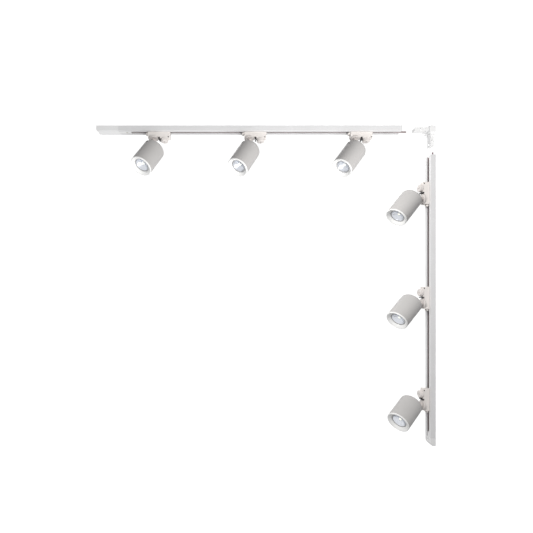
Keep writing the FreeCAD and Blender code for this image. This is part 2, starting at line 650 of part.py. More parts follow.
def front_ring():
    """White bezel: a rim, a cone down to the lamp and a threaded skirt inside the housing."""
    front = -HEAD_FRONT
    seam = front + RING_LENGTH
    outer = HEAD_RADIUS
    mouth = LAMP_RADIUS + MOUTH_CLEARANCE
    skirt = HEAD_RADIUS - HEAD_WALL - 0.3
    skirt_inner = skirt - SKIRT_THICKNESS
    skirt_end = seam + SKIRT_LENGTH
    lip = front + LAMP_RECESS - 0.9
    return turned([
        (outer - SEAM_GROOVE, seam),
        (outer, seam - SEAM_GROOVE),
        (outer, front + RIM_ROUND),
        (outer - RIM_ROUND, front),
        (outer - RIM_THICKNESS, front),
        (mouth, lip),
        (mouth, lip + MOUTH_DEPTH),
        (skirt_inner, front + 4.4),
        (skirt_inner + 0.2, skirt_end),
        (skirt, skirt_end),
        (skirt, seam),
    ])


def lamp():
    """Reflector lamp with two bayonet pins."""
    face = -HEAD_FRONT + LAMP_RECESS
    base = face + LAMP_BODY_LENGTH
    bulb = turned([
        (0, face),
        (LAMP_RADIUS - 0.6, face),
        (LAMP_RADIUS, face + 0.6),
        (LAMP_RADIUS, face + 4.5),
        (LAMP_RADIUS - 1.8, face + 8.0),
        (19.0, face + 22.0),
        (14.0, face + 35.0),
        (LAMP_NECK_RADIUS, face + 41.0),
        (LAMP_NECK_RADIUS, base),
        (0, base),
    ])

    def pin(side):
        return rod(LAMP_PIN_RADIUS, base - 1, base + LAMP_PIN_LENGTH, 0, side * LAMP_PIN_SPREAD)

    return bulb.fuse(both_sides(pin))


def lamp_holder():
    """Ceramic lamp holder under the metal plate that carries it."""
    base = -HEAD_FRONT + LAMP_RECESS + LAMP_BODY_LENGTH + 0.4
    low = HOLDER_PLATE_LEVEL
    holder = rod(HOLDER_RADIUS, base, low)
    plate = rod(HEAD_RADIUS - HEAD_WALL - 0.2, low, low + HOLDER_PLATE_THICKNESS)
    for side in (1, -1):
        pin_hole = rod(HOLDER_PIN_HOLE, base - 1, base + LAMP_PIN_LENGTH + 1, 0, side * LAMP_PIN_SPREAD)
        holder = holder.cut(pin_hole)
        plate = plate.cut(rod(HOLDER_SCREW_HOLE, low - 1, low + 3, side * HOLDER_SCREW_OFFSET))
    return Part.makeCompound([holder, plate])


# ---- Writing the nodes ---------------------------------------------------------------------------
def put(shape, placement, name):
    """Writes one node's STEP file with its shape set in place."""
    placed = shape.copy()
    placed.Placement = placement * placed.Placement
    placed.exportStep(os.path.join("parts", name + ".step"))


def build():
    os.makedirs("parts", exist_ok=True)
    stubs = {1: RAIL_1_CONDUCTOR_STUB, 2: RAIL_2_CONDUCTOR_STUB}
    for rail, stub in stubs.items():
        frame = rail_frame(rail)
        put(rail_profile(), frame, f"rail_{rail}_profile")
        put(rail_liner(), frame, f"rail_{rail}_liner")
        put(rail_conductors(stub), frame, f"rail_{rail}_conductors")
    put(live_end_housing(), rail_frame(1), "live_end_housing")
    put(live_end_terminals(), rail_frame(1), "live_end_terminals")
    put(end_cap(), rail_frame(2), "end_cap")
    put(corner_body(), Placement(), "corner_body")
    put(corner_contacts(), Placement(), "corner_contacts")
    put(corner_screws(), Placement(), "corner_screws")
    pieces = {
        "adapter_body": (adapter_body(), spot_frame),
        "lock_knob": (lock_knob(), spot_frame),
        "release_tab": (release_tab(), spot_frame),
        "swivel_neck": (swivel_neck(), neck_frame),
        "head_housing": (head_housing(), head_frame),
        "front_ring": (front_ring(), head_frame),
        "lamp": (lamp(), head_frame),
        "lamp_holder": (lamp_holder(), head_frame),
    }
    for number, spot in enumerate(SPOTS, start=1):
        for piece, (shape, frame) in pieces.items():
            put(shape, frame(spot), f"spot_{number}_{piece}")


build()
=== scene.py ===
"""Looks of the track lighting kit: two slotted rails with six cylinder spotlights, pulled apart
at the inside-corner connector. All lengths are metres in the part's own frame."""

import json
import math

import bmesh
import bpy
from mathutils import Matrix, Vector


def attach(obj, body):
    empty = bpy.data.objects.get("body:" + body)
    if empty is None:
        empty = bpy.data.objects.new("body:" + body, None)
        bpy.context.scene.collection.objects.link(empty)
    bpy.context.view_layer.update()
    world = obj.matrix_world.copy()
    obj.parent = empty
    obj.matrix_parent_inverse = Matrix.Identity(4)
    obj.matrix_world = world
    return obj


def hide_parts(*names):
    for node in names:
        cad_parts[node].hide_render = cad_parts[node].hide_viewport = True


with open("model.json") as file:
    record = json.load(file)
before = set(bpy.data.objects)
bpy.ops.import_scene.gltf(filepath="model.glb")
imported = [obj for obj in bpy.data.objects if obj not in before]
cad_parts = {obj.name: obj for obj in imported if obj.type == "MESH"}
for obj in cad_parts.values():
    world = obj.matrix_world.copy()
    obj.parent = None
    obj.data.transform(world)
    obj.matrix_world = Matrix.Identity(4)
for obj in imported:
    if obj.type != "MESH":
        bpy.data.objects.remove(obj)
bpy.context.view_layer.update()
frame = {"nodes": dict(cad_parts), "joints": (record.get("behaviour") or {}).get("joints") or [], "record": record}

MM = 0.001
SPOT_COUNT = 6
JOINTS = {joint["name"]: joint for joint in frame["joints"]}

# ---- Head, ring and lamp: the head's front is measured from its tilt pivot -------------------
HEAD_FRONT = 97.0 * MM
HEAD_RADIUS = 37.5 * MM
RING_LENGTH = 13.0 * MM
RING_LIP = 4.5 * MM
LAMP_RECESS = 8.7 * MM
LAMP_LENGTH = 48.0 * MM
LAMP_RADIUS = 25.0 * MM
LAMP_FACE = -HEAD_FRONT + LAMP_RECESS
LAMP_BASE = LAMP_FACE + LAMP_LENGTH

# Lamp casing: rim, cooling ribs and tail
RIM_INNER_RADIUS = 22.3 * MM
RIM_INNER_DEPTH = 1.6 * MM
RIM_SLOPE = 0.3 * MM
RIM_LIP = 0.2 * MM
RIM_CORNER = 0.6 * MM
RIM_DEPTH = 4.5 * MM
SHOULDER_RADIUS = 23.2 * MM
SHOULDER_DEPTH = 8.0 * MM
WAIST_RADIUS = 19.0 * MM
WAIST_DEPTH = 22.0 * MM
TAIL_RADIUS = 14.0 * MM
TAIL_DEPTH = 35.0 * MM
COLLAR_RADIUS = 13.0 * MM
COLLAR_DEPTH = 41.0 * MM
COOLING_DEPTH = 1.2 * MM
COOLING_FROM = 7 * MM
COOLING_TO = 36 * MM
COOLING_PITCH = 4  # segments from rib to rib, half of them groove

# Bayonet pins, measured from the lamp's base
PIN_RADIUS = 2.2 * MM
PIN_LENGTH = 7.0 * MM
PIN_SPREAD = 5.0 * MM
PIN_ROOT = 0.5 * MM
PIN_SLOPE = 0.4 * MM
PIN_GROOVE_RADIUS = 1.3 * MM
PIN_GROOVE_FROM = 4.0 * MM
PIN_GROOVE_TO = 5.3 * MM

# Reflector bowl, board with dies, and dome
BOWL_FACETS = 18
BOWL_LEVELS = 6
BOWL_RADIUS = 22.2 * MM
BOWL_FLOOR_RADIUS = 6.5 * MM
BOWL_FRONT = 1.4 * MM
BOWL_DEPTH = 10.5 * MM
BOWL_CURVE = 0.75
CHIP_RADIUS = 4.0 * MM
CHIP_CORNER = 0.6 * MM
CHIP_HEIGHT = 0.9 * MM
CHIP_SIDE = 0.5 * MM
CHIP_TAPER = 0.1 * MM
BOARD_RADIUS = 6.6 * MM
BOARD_EDGE_RADIUS = 6.8 * MM
BOARD_THICKNESS = 0.8 * MM
DOME_RADIUS = 6.0 * MM
DOME_HEIGHT = 4.2 * MM
DOME_DEPTH = 11.0 * MM
DOME_BACK = 0.1 * MM

# Front ring: rounded rim, cone, mouth around the lamp, skirt inside the housing
BEZEL_CORNER = 2.1 * MM
BEZEL_GROOVE = 0.25 * MM
BEZEL_CHAMFER = 0.5 * MM
BEZEL_LIP_WIDTH = 2.6 * MM
CONE_EDGE = 0.3 * MM
MOUTH_GAP = 0.4 * MM
MOUTH_FRONT = 0.9 * MM
MOUTH_STEP = 0.1 * MM
MOUTH_LENGTH = 2.3 * MM
CONE_ROOT = 1.9 * MM
CONE_ROOT_DEPTH = 4.4 * MM
SKIRT_INSET = 2.8 * MM
SKIRT_WALL = 1.7 * MM
SKIRT_LENGTH = 6.0 * MM

# ---- The adapter's rib and pin holes, measured in its spotlight's frame ----------------------
LOCK_AXIS = 39.0 * MM
RIB_START = 20.0 * MM
RIB_END = 23.5 * MM
RIB_TOP = -18.1 * MM
PIN_HOLE_X = 54.0 * MM
PIN_HOLE_LEVEL = -18.5 * MM
PIN_HOLE_REACH = 2.4 * MM
ADAPTER_SIDE = 9.9 * MM
FACE_TOLERANCE = 0.1 * MM

# ---- Meshes: segments round a turned part, edges that stay sharp, distance that welds --------
ROUND = 96
SMALL_ROUND = 32
PIN_ROUND = 20
CORNER_STEPS = 6
DOME_STEPS = 8
TURNED_EDGE = math.radians(30)
CAD_EDGE = math.radians(35)
STAGE_EDGE = math.radians(40)
DOME_EDGE = math.radians(50)
WELD = 0.001 * MM
ON_AXIS = 1e-7

# ---- Camera and stage ------------------------------------------------------------------------
CAMERA_PLACE = (-0.0715, -1.2143, -0.5794)
CAMERA_LENS = 22.96
CAMERA_SENSOR = 36.0
CAMERA_SHIFT_X = 0.0497
CAMERA_SHIFT_Y = 0.0441
STAGE_LEVEL = -1.75
STAGE_RADIUS = 9.0
STAGE_BEND = 3.0
STAGE_TOP = 12.0
STAGE_BEND_STEPS = 24
STAGE_GLOW = 0.78
WORLD_STRENGTH = 0.42
WARM = (1.0, 0.99, 0.97)

# ---- Material settings -----------------------------------------------------------------------
NOISE_LOW = 0.3
NOISE_HIGH = 0.7
CLOUD_SCALE = 14.0
PATCH_SCALE = 60.0
EDGE_HIGHLIGHT_SCALE = 120.0
FLOW_SCALE = 220.0
DIE_SCALE = 700.0
SPECK_SHARE = 0.6
EDGE_RADIUS = 0.5 * MM
EDGE_FLAT = 0.99
EDGE_TURNED = 0.85
# Painted shade in corners and recesses: how far the occlusion reaches, and how dark the colour is painted there
PAINTED_SHADE_REACH = 4 * MM
PAINTED_SHADE_TONE = 0.45
# Painted edge highlight: how much lighter the colour is painted along rounded edges
EDGE_HIGHLIGHT_TONE = 1.25
RELIEF_DEPTH = 0.2 * MM
POLISHED = 0.06
DULLED = 0.08
COAT_ROUGHNESS = 0.25


# ---- Frames ----------------------------------------------------------------------------------
def head_frame(number):
    """Matrix from a spotlight head's own frame (front towards -z, origin at the tilt pivot)."""
    tilt = JOINTS[f"spot_{number}_tilt"]
    up = Vector(JOINTS[f"spot_{number}_pan"]["axis"])
    hinge = Vector(tilt["axis"])
    rear = Matrix.Rotation(-math.radians(tilt["range_deg"][0]), 3, hinge) @ up
    side = -hinge
    turned = Matrix((side.cross(rear), side, rear)).transposed().to_4x4()
    turned.translation = Vector(tilt["pos_m"])
    return turned


def spot_frame(number):
    """Matrix from a spotlight's frame: x to its lock knob, z into the rail, origin on the slot face."""
    lock = JOINTS[f"spot_{number}_lock_turn"]
    along = Vector(JOINTS[f"spot_{number}_slide"]["axis"])
    up = Vector(lock["axis"])
    turned = Matrix((along, up.cross(along), up)).transposed().to_4x4()
    turned.translation = Vector(lock["pos_m"]) - along * LOCK_AXIS
    return turned


# ---- Mesh helpers ----------------------------------------------------------------------------
def new_piece(name, mesh, materials, smooth_angle=None):
    """Links a finished bmesh as an object with its materials and shading."""
    data = bpy.data.meshes.new(name)
    bmesh.ops.recalc_face_normals(mesh, faces=mesh.faces)
    mesh.to_mesh(data)
    mesh.free()
    piece = bpy.data.objects.new(name, data)
    bpy.context.scene.collection.objects.link(piece)
    for material in materials:
        data.materials.append(material)
    if smooth_angle is not None:
        smooth_by_angle(data, smooth_angle)
    return piece


def smooth_by_angle(data, angle):
    """Smooth shading that keeps every edge sharper than the angle."""
    data.shade_smooth()
    data.set_sharp_from_angle(angle=angle)


def lathe(mesh, outline, segments, matrix, radius_of=None, material=0):
    """Turns an outline of (radius, z) points about z. radius_of can change a radius by angle."""
    rings = []
    for radius, z in outline:
        if radius < ON_AXIS:
            rings.append([mesh.verts.new(matrix @ Vector((0, 0, z)))])
            continue
        ring = []
        for step in range(segments):
            angle = 2 * math.pi * step / segments
            reach = radius_of(radius, z, step) if radius_of else radius
            point = Vector((reach * math.cos(angle), reach * math.sin(angle), z))
            ring.append(mesh.verts.new(matrix @ point))
        rings.append(ring)
    for low, high in zip(rings, rings[1:]):
        for step in range(segments):
            after = (step + 1) % segments
            corners = [
                low[step % len(low)],
                low[after % len(low)],
                high[after % len(high)],
                high[step % len(high)],
            ]
            unique = list(dict.fromkeys(corners))
            if len(unique) > 2:
                mesh.faces.new(unique).material_index = material
    return rings


# ---- Materials -------------------------------------------------------------------------------
def new_material(name):
    """Empty node material: returns it with its nodes, links and Principled shader."""
    material = bpy.data.materials.new(name)
    material.use_nodes = True
    nodes = material.node_tree.nodes
    return material, nodes, material.node_tree.links, nodes["Principled BSDF"]


def add_noise(nodes, links, coords, scale, detail=3.0, stretch=(1, 1, 1)):
    """Noise in object coordinates; stretch squeezes it along an axis."""
    mapping = nodes.new("ShaderNodeMapping")
    mapping.inputs["Scale"].default_value = stretch
    links.new(coords, mapping.inputs["Vector"])
    noise = nodes.new("ShaderNodeTexNoise")
    noise.inputs["Scale"].default_value = scale
    noise.inputs["Detail"].default_value = detail
    links.new(mapping.outputs["Vector"], noise.inputs["Vector"])
    return noise.outputs["Fac"]


def add_range(nodes, links, source, low, high):
    """Maps the middle range of a noise, or of an occlusion, onto low..high."""
    ranged = nodes.new("ShaderNodeMapRange")
    ranged.inputs["From Min"].default_value = NOISE_LOW
    ranged.inputs["From Max"].default_value = NOISE_HIGH
    ranged.inputs["To Min"].default_value = low
    ranged.inputs["To Max"].default_value = high
    links.new(source, ranged.inputs["Value"])
    return ranged.outputs["Result"]


def add_mix(nodes, links, factor, first, second, blend="MIX"):
    """Mixes two colours, each a tuple or a socket."""
    mix = nodes.new("ShaderNodeMix")
    mix.data_type = "RGBA"
    mix.blend_type = blend
    for value, socket_name in ((factor, "Factor"), (first, "A"), (second, "B")):
        socket = mix.inputs[socket_name]
        if isinstance(value, (tuple, float)):
            socket.default_value = value
        else:
            links.new(value, socket)
    return mix.outputs["Result"]


def shade(colour, factor):
    """A colour made lighter or darker."""
    return tuple(min(1.0, part * factor) for part in colour[:3]) + (1.0,)


def add_rounded_edges(nodes):
    """Normal that rounds every sharp edge a little."""
    bevel = nodes.new("ShaderNodeBevel")
    bevel.samples = 4
    bevel.inputs["Radius"].default_value = EDGE_RADIUS
    return bevel.outputs["Normal"]


def add_edge_highlight(nodes, links, coords, rounded, amount):
    """Painted edge highlight in patches: up to amount where the rounded normal leaves the flat one."""
    geometry = nodes.new("ShaderNodeNewGeometry")
    agreement = nodes.new("ShaderNodeVectorMath")
    agreement.operation = "DOT_PRODUCT"
    links.new(rounded, agreement.inputs[0])
    links.new(geometry.outputs["Normal"], agreement.inputs[1])
    edge = nodes.new("ShaderNodeMapRange")
    edge.inputs["From Min"].default_value = EDGE_FLAT
    edge.inputs["From Max"].default_value = EDGE_TURNED
    edge.inputs["To Max"].default_value = amount
    links.new(agreement.outputs["Value"], edge.inputs["Value"])
    patches = add_range(nodes, links, add_noise(nodes, links, coords, EDGE_HIGHLIGHT_SCALE), 0.0, 1.0)
    highlight_mask = nodes.new("ShaderNodeMath")
    highlight_mask.operation = "MULTIPLY"
    links.new(edge.outputs["Result"], highlight_mask.inputs[0])
    links.new(patches, highlight_mask.inputs[1])
    return highlight_mask.outputs["Value"]


def surface(name, colour, roughness, grain=900.0, bump=0.05, tone=0.05, metallic=0.0,
            stretch=(1, 1, 1), recess_shade=0.35, coat=0.0, edge_highlight=0.35, gloss=0.5):
    """Painted, moulded or drawn surface: mottled colour, painted shade in corners and recesses, a painted edge
    highlight, grain and uneven gloss.
    """
    material, nodes, links, shader = new_material(name)
    coords = nodes.new("ShaderNodeTexCoord").outputs["Object"]
    clouds = add_noise(nodes, links, coords, CLOUD_SCALE, 4.0)
    cloud = add_range(nodes, links, clouds, 0.0, 1.0)
    base = add_mix(nodes, links, cloud, shade(colour, 1 - tone), shade(colour, 1 + tone))
    specks = add_noise(nodes, links, coords, grain * SPECK_SHARE, 2.0, stretch)
    speck = add_range(nodes, links, specks, 0.0, 1.0)
    base = add_mix(nodes, links, speck, base, shade(colour, 1 - 0.5 * tone))
    # Painted shade: the colour darkens where ambient occlusion finds nearby surfaces, in corners and recesses
    occlusion_shade = nodes.new("ShaderNodeAmbientOcclusion")
    occlusion_shade.samples = 4
    occlusion_shade.inputs["Distance"].default_value = PAINTED_SHADE_REACH
    edge = add_range(nodes, links, occlusion_shade.outputs["AO"], recess_shade, 0.0)
    base = add_mix(nodes, links, edge, base, shade(colour, PAINTED_SHADE_TONE))
    rounded = add_rounded_edges(nodes)
    # Painted highlight: the colour turns lighter in patches along rounded edges
    highlight_mask = add_edge_highlight(nodes, links, coords, rounded, edge_highlight)
    base = add_mix(nodes, links, highlight_mask, base, shade(colour, EDGE_HIGHLIGHT_TONE))
    links.new(base, shader.inputs["Base Color"])
    patch = add_noise(nodes, links, coords, PATCH_SCALE, 3.0, stretch)
    uneven = add_range(nodes, links, patch, roughness - POLISHED, roughness + DULLED)
    links.new(uneven, shader.inputs["Roughness"])
    relief = nodes.new("ShaderNodeBump")
    relief.inputs["Strength"].default_value = bump
    relief.inputs["Distance"].default_value = RELIEF_DEPTH
    links.new(add_noise(nodes, links, coords, grain, 3.0, stretch), relief.inputs["Height"])
    links.new(rounded, relief.inputs["Normal"])
    links.new(relief.outputs["Normal"], shader.inputs["Normal"])
    shader.inputs["Metallic"].default_value = metallic
    shader.inputs["Specular IOR Level"].default_value = gloss
    shader.inputs["Coat Weight"].default_value = coat
    shader.inputs["Coat Roughness"].default_value = COAT_ROUGHNESS
    return material


def glass(name, colour, roughness):
    """Clear moulded lens with faint flow marks."""
    material, nodes, links, shader = new_material(name)
    coords = nodes.new("ShaderNodeTexCoord").outputs["Object"]
    flow = add_noise(nodes, links, coords, FLOW_SCALE, 2.0)
    tint = add_mix(nodes, links, flow, shade(colour, 0.94), shade(colour, 1.0))
    links.new(tint, shader.inputs["Base Color"])
    uneven = add_range(nodes, links, flow, roughness, roughness + 0.05)
    links.new(uneven, shader.inputs["Roughness"])
    shader.inputs["Transmission Weight"].default_value = 1.0
    shader.inputs["IOR"].default_value = 1.49
    return material


def phosphor_painted_glow(name):
    """Yellow-white dies under silicone, with a faint glow that paints a highlight on the unlit lamp."""
    material, nodes, links, shader = new_material(name)
    coords = nodes.new("ShaderNodeTexCoord").outputs["Object"]
    dots = nodes.new("ShaderNodeTexVoronoi")
    dots.inputs["Scale"].default_value = DIE_SCALE
    links.new(coords, dots.inputs["Vector"])
    pale = (0.95, 0.94, 0.88, 1.0)
    yellow = (0.93, 0.88, 0.7, 1.0)
    base = add_mix(nodes, links, dots.outputs["Distance"], pale, yellow)
    links.new(base, shader.inputs["Base Color"])
    links.new(base, shader.inputs["Emission Color"])
    # Painted highlight: a weak glow for the bright spot in the middle of the lamp
    shader.inputs["Emission Strength"].default_value = 0.5
    shader.inputs["Roughness"].default_value = 0.35
    return material


PAINTS = {
    "rail_paint": dict(
        colour=(0.72, 0.72, 0.73), roughness=0.38, grain=1400.0, bump=0.05, stretch=(0.2, 1, 0.2)),
    "liner_plastic": dict(
        colour=(0.74, 0.68, 0.69), roughness=0.6, grain=700.0, bump=0.12, tone=0.06, recess_shade=0.1),
    "copper": dict(
        colour=(0.22, 0.15, 0.15), roughness=0.36, grain=500.0, bump=0.05, tone=0.2, metallic=1.0,
        stretch=(0.05, 1, 1)),
    "feed_plastic": dict(
        colour=(0.82, 0.82, 0.825), roughness=0.45, grain=1600.0, bump=0.12),
    "terminal_metal": dict(
        colour=(0.5, 0.46, 0.4), roughness=0.3, grain=600.0, metallic=1.0, tone=0.12),
    "corner_plastic": dict(
        colour=(0.8, 0.8, 0.805), roughness=0.32, grain=1600.0, bump=0.06, tone=0.02, recess_shade=0.15),
    "contact_metal": dict(
        colour=(0.8, 0.8, 0.8), roughness=0.22, grain=500.0, metallic=1.0, tone=0.06),
    "adapter_plastic": dict(
        colour=(0.8, 0.76, 0.735), roughness=0.46, grain=1500.0, bump=0.15),
    "knob_plastic": dict(
        colour=(0.76, 0.72, 0.7), roughness=0.46, grain=1500.0, bump=0.15),
    "neck_metal": dict(
        colour=(0.66, 0.62, 0.6), roughness=0.4, grain=1100.0, bump=0.07),
    "head_paint": dict(
        colour=(0.53, 0.518, 0.512), roughness=0.5, grain=1300.0, bump=0.06, tone=0.03, gloss=0.2),
    "ring_paint": dict(
        colour=(0.86, 0.86, 0.855), roughness=0.42, grain=1300.0, bump=0.05, tone=0.02, gloss=0.35),
    "lamp_plastic": dict(
        colour=(0.8, 0.8, 0.8), roughness=0.4, grain=1500.0),
    "ceramic": dict(
        colour=(0.82, 0.79, 0.72), roughness=0.3, grain=800.0, tone=0.08, coat=0.4),
}
LOOKS = {name: surface(name, **settings) for name, settings in PAINTS.items()}
REFLECTOR = surface("reflector_metal", colour=(0.6, 0.62, 0.66), roughness=0.24, grain=400.0, bump=0.02,
                    metallic=1.0, edge_highlight=0.0)
# Painted shade: the lamp's front rim is darker grey for the shadowed gap between lamp and cone
LAMP_RIM_SHADE = surface("lamp_rim", colour=(0.42, 0.42, 0.43), roughness=0.35, grain=1200.0, bump=0.05)
LAMP_GLASS = glass("lamp_glass", colour=(0.9, 0.94, 1.0), roughness=0.03)
CHIP_WITH_PAINTED_GLOW = phosphor_painted_glow("chip_phosphor")
# Painted shadow: near-black colour for faces that lie in deep shade
PAINTED_SHADOW_LOOK = surface("dark_cavity", colour=(0.035, 0.033, 0.035), roughness=0.5, grain=900.0, bump=0.1)


# ---- Camera, stage and light -----------------------------------------------------------------
def add_camera():
    data = bpy.data.cameras.new("camera")
    data.sensor_width = CAMERA_SENSOR
    data.lens = CAMERA_LENS
    data.shift_x = CAMERA_SHIFT_X
    data.shift_y = CAMERA_SHIFT_Y
    data.clip_start = 0.05
    data.clip_end = 60.0
    camera = bpy.data.objects.new("camera", data)
    camera.location = CAMERA_PLACE
    camera.rotation_euler = (math.radians(90), 0, 0)
    bpy.context.scene.collection.objects.link(camera)
    bpy.context.scene.camera = camera


def add_stage():
    """Pale round floor that curves up into a wall all round."""
    mesh = bmesh.new()
    flat_radius = STAGE_RADIUS - STAGE_BEND
    profile = [(0.0, STAGE_LEVEL), (flat_radius, STAGE_LEVEL)]
    for step in range(1, STAGE_BEND_STEPS + 1):
        angle = math.pi / 2 * step / STAGE_BEND_STEPS
        radius = flat_radius + STAGE_BEND * math.sin(angle)
        profile.append((radius, STAGE_LEVEL + STAGE_BEND * (1 - math.cos(angle))))
    profile.append((STAGE_RADIUS, STAGE_TOP))
    lathe(mesh, profile, ROUND, Matrix())
    material, nodes, links, shader = new_material("stage_paper")
    coords = nodes.new("ShaderNodeTexCoord").outputs["Object"]
    cloud = add_noise(nodes, links, coords, 1.5, 2.0)
    tone = add_mix(nodes, links, cloud, (0.9, 0.9, 0.9, 1.0), (0.93, 0.93, 0.93, 1.0))
    links.new(tone, shader.inputs["Base Color"])
    links.new(tone, shader.inputs["Emission Color"])
    shader.inputs["Emission Strength"].default_value = STAGE_GLOW
    shader.inputs["Roughness"].default_value = 0.9
    floor = new_piece("stage_floor", mesh, [material], STAGE_EDGE)
    floor.visible_diffuse = False


def add_area_light(name, place, target, size, power, colour=(1, 1, 1)):
    """Square soft light that points at a target."""
    data = bpy.data.lights.new(name, "AREA")
    data.shape = "SQUARE"
    data.size = size
    data.energy = power
    data.color = colour
    light = bpy.data.objects.new(name, data)
    light.location = place
    light.rotation_euler = (Vector(target) - Vector(place)).to_track_quat("-Z", "Y").to_euler()
    light.visible_camera = False
    bpy.context.scene.collection.objects.link(light)
    return light


def light_only(light, pieces):
    """Keeps a light to the given objects."""
    receivers = bpy.data.collections.new(light.name + "_receivers")
    for piece in pieces:
        receivers.objects.link(piece)
    light.light_linking.receiver_collection = receivers


def pieces_along(rail):
    """Everything that sits along one rail; the corner connector counts with rail 1."""
    ceiling = ("rail_1", "live_end", "corner", "spot_1", "spot_2", "spot_3")
    meshes = [piece for piece in bpy.context.scene.objects if piece.type == "MESH"]
    return [piece for piece in meshes
            if piece.name.startswith(ceiling) == (rail == 1) and not piece.name.startswith("stage")]


def add_light():
    """Even white surroundings, a soft key from inside the L for each rail, a fill and a rim light."""
    world = bpy.data.worlds.new("world")
    world.use_nodes = True
    background = world.node_tree.nodes["Background"]
    background.inputs["Color"].default_value = (1.0, 1.0, 1.0, 1.0)
    background.inputs["Strength"].default_value = WORLD_STRENGTH
    bpy.context.scene.world = world
    bpy.context.scene.view_settings.view_transform = "Standard"
    ceiling_key = add_area_light("ceiling_key", place=(0.55, -1.1, -0.75), target=(0.0, 0.0, -0.1),
                                 size=0.4, power=14.0, colour=WARM)
    light_only(ceiling_key, pieces_along(1))
    wall_key = add_area_light("wall_key", place=(-0.35, -0.95, 0.05), target=(0.55, 0.0, -0.6),
                              size=0.4, power=16.0, colour=WARM)
    light_only(wall_key, pieces_along(2))
    fill = add_area_light("fill", place=(-0.2, -0.5, -1.5), target=(0.0, 0.0, -0.1), size=0.8, power=9.0)
    light_only(fill, pieces_along(1))
    add_area_light("rim", place=(-0.6, 1.6, 0.9), target=(0.1, 0.0, -0.5), size=1.2, power=8.0)


# ---- Lamps -----------------------------------------------------------------------------------
def rib_radius(radius, z, step):
    """Radius of the casing with its cooling grooves cut in."""
    grooved = step % COOLING_PITCH >= COOLING_PITCH // 2
    if LAMP_FACE + COOLING_FROM < z < LAMP_FACE + COOLING_TO and grooved:
        return radius - COOLING_DEPTH
    return radius


def add_bayonet_pin(mesh, place, offset):
    """One grooved pin on the lamp's base."""
    outline = [
        (PIN_RADIUS, -PIN_ROOT),
        (PIN_RADIUS, PIN_GROOVE_FROM),
        (PIN_GROOVE_RADIUS, PIN_GROOVE_FROM + PIN_SLOPE),
        (PIN_GROOVE_RADIUS, PIN_GROOVE_TO - PIN_SLOPE),
        (PIN_RADIUS, PIN_GROOVE_TO),
        (PIN_RADIUS, PIN_LENGTH - PIN_SLOPE),
        (PIN_RADIUS - PIN_SLOPE, PIN_LENGTH),
        (0.0, PIN_LENGTH),
    ]
    lathe(mesh, outline, PIN_ROUND, place @ Matrix.Translation((0, offset, LAMP_BASE)), material=1)


def lamp_body(name, place):
    """White lamp body with cooling ribs, a front rim in darker grey that paints the shade of the gap round the
    lamp, and a base.
    """
    mesh = bmesh.new()
    rim = [
        (RIM_INNER_RADIUS, LAMP_FACE + RIM_INNER_DEPTH),
        (RIM_INNER_RADIUS + RIM_SLOPE, LAMP_FACE + RIM_LIP),
        (SHOULDER_RADIUS, LAMP_FACE),
        (LAMP_RADIUS - RIM_CORNER, LAMP_FACE),
        (LAMP_RADIUS, LAMP_FACE + RIM_CORNER),
        (LAMP_RADIUS, LAMP_FACE + RIM_DEPTH),
    ]
    casing = [
        (LAMP_RADIUS, LAMP_FACE + RIM_DEPTH),
        (SHOULDER_RADIUS, LAMP_FACE + SHOULDER_DEPTH),
        (WAIST_RADIUS, LAMP_FACE + WAIST_DEPTH),
        (TAIL_RADIUS, LAMP_FACE + TAIL_DEPTH),
        (COLLAR_RADIUS, LAMP_FACE + COLLAR_DEPTH),
        (COLLAR_RADIUS, LAMP_BASE),
        (0.0, LAMP_BASE),
    ]
    lathe(mesh, rim, ROUND, place, material=2)
    lathe(mesh, casing, ROUND, place, rib_radius)
    for offset in (-PIN_SPREAD, PIN_SPREAD):
        add_bayonet_pin(mesh, place, offset)
    bmesh.ops.remove_doubles(mesh, verts=mesh.verts, dist=WELD)
    materials = [LOOKS["lamp_plastic"], LOOKS["contact_metal"], LAMP_RIM_SHADE]
    return new_piece(name, mesh, materials, TURNED_EDGE)


def lamp_reflector(name, place):
    """Faceted bowl: rings of flat facets, each ring turned half a facet from the last."""
    mesh = bmesh.new()
    rings = []
    for level in range(BOWL_LEVELS):
        share = level / (BOWL_LEVELS - 1)
        radius = BOWL_RADIUS - (BOWL_RADIUS - BOWL_FLOOR_RADIUS) * share
        z = LAMP_FACE + BOWL_FRONT + BOWL_DEPTH * share ** BOWL_CURVE
        ring = []
        for step in range(BOWL_FACETS):
            angle = 2 * math.pi * (step + 0.5 * (level % 2)) / BOWL_FACETS
            point = Vector((radius * math.cos(angle), radius * math.sin(angle), z))
            ring.append(mesh.verts.new(place @ point))
        rings.append(ring)
    for level, (outer, inner) in enumerate(zip(rings, rings[1:])):
        for step in range(BOWL_FACETS):
            after = (step + 1) % BOWL_FACETS
            if level % 2 == 0:
                mesh.faces.new((outer[step], outer[after], inner[step]))
                mesh.faces.new((outer[after], inner[after], inner[step]))
            else:
                mesh.faces.new((outer[step], outer[after], inner[after]))
                mesh.faces.new((outer[step], inner[after], inner[step]))
    return new_piece(name, mesh, [REFLECTOR])


